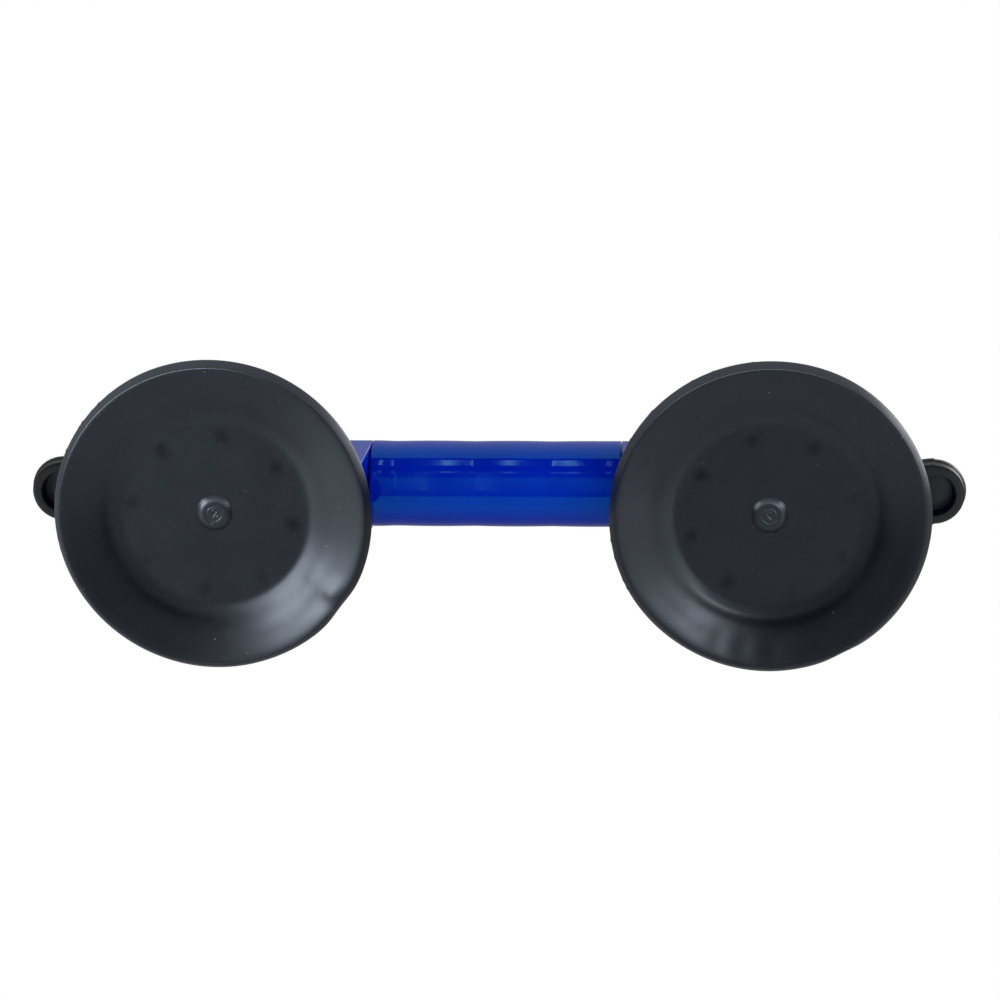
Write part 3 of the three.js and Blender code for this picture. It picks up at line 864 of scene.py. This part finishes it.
# ---------------------------------------------------------------- camera, floor and light
def make_camera():
    """The photograph's view: from below, with the grip across the picture."""
    tilt, yaw, roll = math.radians(15.56), math.radians(3.2), math.radians(0.24)
    distance, aside, above = 1.2037, 0.0039, 0.0074
    right, up, ahead = Vector((1, 0, 0)), Vector((0, -1, 0)), Vector((0, 0, 1))

    def turn(a, b, angle):
        return a * math.cos(angle) + b * math.sin(angle), b * math.cos(angle) - a * math.sin(angle)

    up, ahead = turn(up, ahead, tilt)
    right, ahead = turn(right, ahead, yaw)
    right, up = turn(right, up, roll)
    place = right * aside + up * above - ahead * distance
    camera = bpy.data.objects.new("camera", bpy.data.cameras.new("camera"))
    rows = [(right[i], up[i], -ahead[i], place[i]) for i in range(3)]
    camera.matrix_world = Matrix((*rows, (0, 0, 0, 1)))
    camera.data.lens = 116.7
    camera.data.sensor_width = 36
    bpy.context.scene.collection.objects.link(camera)
    bpy.context.scene.camera = camera


def make_floor():
    """A pale floor that shows from above only, because the photograph looks up at the pads."""
    s = Surface("floor", Roughness=0.6)
    s.shader.inputs["Specular IOR Level"].default_value = 0.0
    s.shader.inputs["Emission Color"].default_value = (1, 1, 1, 1)
    s.shader.inputs["Emission Strength"].default_value = 0.28
    s.set(s.shader, "Base Color", s.mix(s.noise(3, 2, 0.5), (0.82, 0.82, 0.82, 1), (0.85, 0.85, 0.85, 1)))
    clear = s.add("ShaderNodeBsdfTransparent")
    under = s.add("ShaderNodeNewGeometry").outputs["Backfacing"]
    both = s.add("ShaderNodeMixShader", {0: under, 1: s.shader.outputs[0], 2: clear.outputs[0]})
    s.tree.links.new(both.outputs[0], s.tree.nodes["Material Output"].inputs["Surface"])
    mesh = bpy.data.meshes.new("floor")
    half, drop = 10, 0.0005
    corners = [(-half, -half, 0), (half, -half, 0), (half, half, 0), (-half, half, 0)]
    mesh.from_pydata(corners, [], [(0, 1, 2, 3)])
    mesh.materials.append(s.material)
    floor = bpy.data.objects.new("floor", mesh)
    bpy.context.scene.collection.objects.link(floor)
    floor.location.z = -drop
    floor.visible_shadow = False
    floor.visible_glossy = False
    floor.visible_diffuse = False


# Brightness of the surround by its angle about X, in degrees up from the front horizon and over to the back.
# The first two set the ends of the colour ramp.
SURROUND = [
    (0, 0.85), (360, 0.85), (25, 0.83), (40, 0.76), (56, 0.6), (70, 0.45), (90, 0.35), (156, 0.25),
    (177, 0.30), (200, 0.55), (215, 0.74), (249.2, 0.74), (250.8, 0.14), (270, 0.24), (296, 0.34),
    (303, 0.03), (356.4, 0.012), (357.6, 0.85),
]


def make_world():
    """A white surround that is open above and behind, and dark below on the camera's side."""
    world = bpy.data.worlds.new("studio")
    bpy.context.scene.world = world
    world.use_nodes = True
    tree = world.node_tree
    nodes, links = tree.nodes, tree.links
    direction = nodes.new("ShaderNodeTexCoord").outputs["Generated"]

    def calc(operation, a, b=0.0):
        node = nodes.new("ShaderNodeMath")
        node.operation = operation
        for i, value in enumerate((a, b)):
            if isinstance(value, bpy.types.NodeSocket):
                links.new(value, node.inputs[i])
            else:
                node.inputs[i].default_value = value
        return node.outputs[0]

    def edge(value, low, high):
        node = nodes.new("ShaderNodeMapRange")
        node.interpolation_type = "SMOOTHSTEP"
        links.new(value, node.inputs["Value"])
        node.inputs["From Min"].default_value = low
        node.inputs["From Max"].default_value = high
        return node.outputs["Result"]

    split = nodes.new("ShaderNodeSeparateXYZ")
    links.new(direction, split.inputs[0])
    forward = calc("MULTIPLY", split.outputs["Y"], -1.0)
    round_x = calc("DIVIDE", calc("ARCTAN2", split.outputs["Z"], forward), TURN)
    ramp = nodes.new("ShaderNodeValToRGB")
    links.new(calc("FRACT", calc("ADD", round_x, 1.0)), ramp.inputs[0])
    for i, (degrees, level) in enumerate(SURROUND):
        stop = ramp.color_ramp.elements[i] if i < 2 else ramp.color_ramp.elements.new(degrees / 360)
        stop.position = degrees / 360
        stop.color = (level, level, level, 1)
    # low down at both sides the surround is dark, and a camera ray that meets nothing is white
    side_edge, low_edge, darkening = (0.64, 0.84), (0.1, 0.3), 0.85
    sideways = calc("ABSOLUTE", split.outputs["X"])
    low = edge(calc("MULTIPLY", split.outputs["Z"], -1.0), *low_edge)
    shade = calc("MULTIPLY", calc("MULTIPLY", edge(sideways, *side_edge), low), darkening)
    level = calc("MULTIPLY", ramp.outputs["Color"], calc("SUBTRACT", 1.0, shade))
    ray = nodes.new("ShaderNodeLightPath")
    level = calc("MAXIMUM", level, ray.outputs["Is Camera Ray"])
    links.new(level, nodes["Background"].inputs["Strength"])
    nodes["Background"].inputs["Color"].default_value = (1, 1, 1, 1)


HEAD_CENTRE = {"left": (-HEAD_X * MM, 0, 0), "right": (HEAD_X * MM, 0, 0)}
BLUE_PIECES = ("grip_tube", "left_bell", "right_bell")
ROSE = (1.0, 0.35, 0.5)
# Lamps below the pads: name, target, direction, distance, size, brightness and the pieces that they light.
PAD_LAMPS = (
    (
        "left_key", HEAD_CENTRE["left"], (-0.61, -0.19, -0.77), 1.2, (0.54, 0.54), 12.8,
        ("left_pad_face", "left_pad_nub"),
    ),
    (
        "left_fill", HEAD_CENTRE["left"], (-0.74, 0.33, -0.58), 1.2, (0.75, 0.75), 1.2,
        ("left_pad", "left_cam"),
    ),
    (
        "right_key", HEAD_CENTRE["right"], (0.42, -0.27, -0.87), 1.2, (0.34, 0.34), 9.5,
        ("right_pad_face", "right_pad_nub"),
    ),
    (
        "right_fill", HEAD_CENTRE["right"], (0.62, 0.10, -0.78), 1.2, (0.75, 0.75), 1.1,
        ("right_pad", "right_cam"),
    ),
    (
        "rear_panel", (0, 0, 0), (0, 0.225, -0.974), 3.0, (3.0, 0.74), 0.30,
        ("left_pad", "right_pad"),
    ),
)
# Narrow windows reflected in the grip: elevation, x, half height, half width and brightness.
STRIPS = (
    (-17.4, -0.056, 0.145, 0.010, 9.0),
    (-44.8, -0.056, 0.045, 0.010, 4.5),
    (-69, -0.104, 0.45, 0.006, 2.4),
)
STRIP_REACH = 8.0
# Lamps for the nubs' flanks: side, direction in x and brightness.
NUB_GLINTS = (("left", -0.75, 12.0), ("left", 0.75, 4.0), ("right", -0.75, 7.0), ("right", 0.75, 7.0))
# Lamps for both nubs: name, direction, length and brightness.
NUB_LAMPS = (("nub_fill", (0, -0.55, -0.83), 1.2, 1.4), ("nub_front", (0, -0.87, -0.5), 2.2, 0.8))
# Lamps for the skirts' lower edges: side, direction and brightness.
RIM_LAMPS = (("left", (-0.62, -0.50, -0.60), 15.0), ("right", (-0.20, -0.78, -0.60), 8.0))


def soft_box(name, target, direction, reach, size, level, tint=(1, 1, 1)):
    """A rectangular lamp at a distance from a target point, facing it, with a brightness per area."""
    data = bpy.data.lights.new(name, "AREA")
    data.shape = "RECTANGLE"
    data.size, data.size_y = size
    data.energy = level * math.pi * size[0] * size[1]
    data.color = tint
    lamp = bpy.data.objects.new(name, data)
    away = Vector(direction).normalized()
    side = (Vector((1, 0, 0)) - away * away.x).normalized()
    turn = Matrix((side, away.cross(side), away)).transposed().to_4x4()
    lamp.matrix_world = Matrix.Translation(Vector(target) + away * reach) @ turn
    bpy.context.scene.collection.objects.link(lamp)
    return lamp


def light_only(lamp, names):
    """Keeps a lamp to the pieces whose names start with any of these, as the flags of a studio do."""
    lit = bpy.data.collections.new(f"{lamp.name}_lights")
    for item in bpy.context.scene.collection.all_objects:
        if item.type == "MESH" and item.name.startswith(names):
            lit.objects.link(item)
    lamp.light_linking.receiver_collection = lit


def light_pads():
    """Lamps below the object, for the pads and the levers."""
    for name, target, direction, reach, size, level, lit in PAD_LAMPS:
        light_only(soft_box(name, target, direction, reach, size, level), lit)


def light_grip():
    """The rosy dashes along the grip."""
    for i, (elevation, x, high, wide, level) in enumerate(STRIPS):
        lift = math.radians(elevation)
        flat = math.sqrt(1 - x * x)
        direction = (x, -flat * math.cos(lift), flat * math.sin(lift))
        size = (2 * wide * STRIP_REACH, 2 * high * STRIP_REACH)
        strip = soft_box(f"strip_{i}", (0, 0, GRIP_Z * MM), direction, STRIP_REACH, size, level, ROSE)
        light_only(strip, ("grip_tube",))


def light_edges():
    """Highlights of the centre nubs and of the skirts' lower edges."""
    for side, slant, level in NUB_GLINTS:
        name = f"{side}_nub_glint_{int(slant * 100)}"
        glint = soft_box(name, HEAD_CENTRE[side], (slant, -0.42, -0.5), 1.2, (0.55, 0.55), level)
        light_only(glint, (f"{side}_pad_nub",))
    for name, direction, length, level in NUB_LAMPS:
        lamp = soft_box(name, (0, 0, 0), direction, 2.0, (2.4, length), level)
        light_only(lamp, ("left_pad_nub", "right_pad_nub"))
    for side, direction, level in RIM_LAMPS:
        rim = soft_box(f"{side}_rim_light", HEAD_CENTRE[side], direction, 1.2, (1.9, 0.6), level)
        light_only(rim, (f"{side}_pad_skirt",))


def light_body():
    """Fills from below, which leave no reflections, and soft lamps above for the views from there."""
    fill = soft_box("blue_fill", (0, 0, GRIP_Z * MM), (0.3, -0.25, -0.92), 1.6, (1.2, 1.2), 1.0)
    near = soft_box("near_fill", (0.008, 0, GRIP_Z * MM), (0, -0.4, -0.92), 0.07, (0.05, 0.02), 3.0)
    for lamp in (fill, near):
        lamp.visible_glossy = False
        light_only(lamp, BLUE_PIECES)
    near.visible_camera = False
    under = soft_box("under_fill", (0, 0, 0), (0, -0.25, -0.97), 1.6, (1.2, 1.2), 0.8)
    under.visible_glossy = False
    middle, slant, size, level = (0, 0, 0.03), (0.72, -0.25, 0.65), (0.9, 0.9), 4.8
    meshes = [item.name for item in bpy.context.scene.objects if item.type == "MESH"]
    other = tuple(name for name in meshes if not name.startswith(BLUE_PIECES))
    light_only(soft_box("top_softbox", middle, slant, 1.6, size, level), other)
    # the glossy blue would mirror that lamp as a square, so it gets one that it doesn't mirror, and a sheen
    blue_top = soft_box("blue_top", middle, slant, 1.6, size, level)
    blue_top.visible_glossy = False
    light_only(blue_top, BLUE_PIECES)
    light_only(soft_box("blue_sheen", middle, (0.5, -0.25, 0.83), 2.2, (1.8, 1.8), 0.7), BLUE_PIECES)


make_camera()
make_floor()
make_world()
for pad_side in SIDES:
    make_pad(pad_side)
make_housings()
make_grip()
make_levers()
finish_cad_nodes()
light_pads()
light_grip()
light_edges()
light_body()
bpy.context.scene.view_settings.view_transform = "Standard"
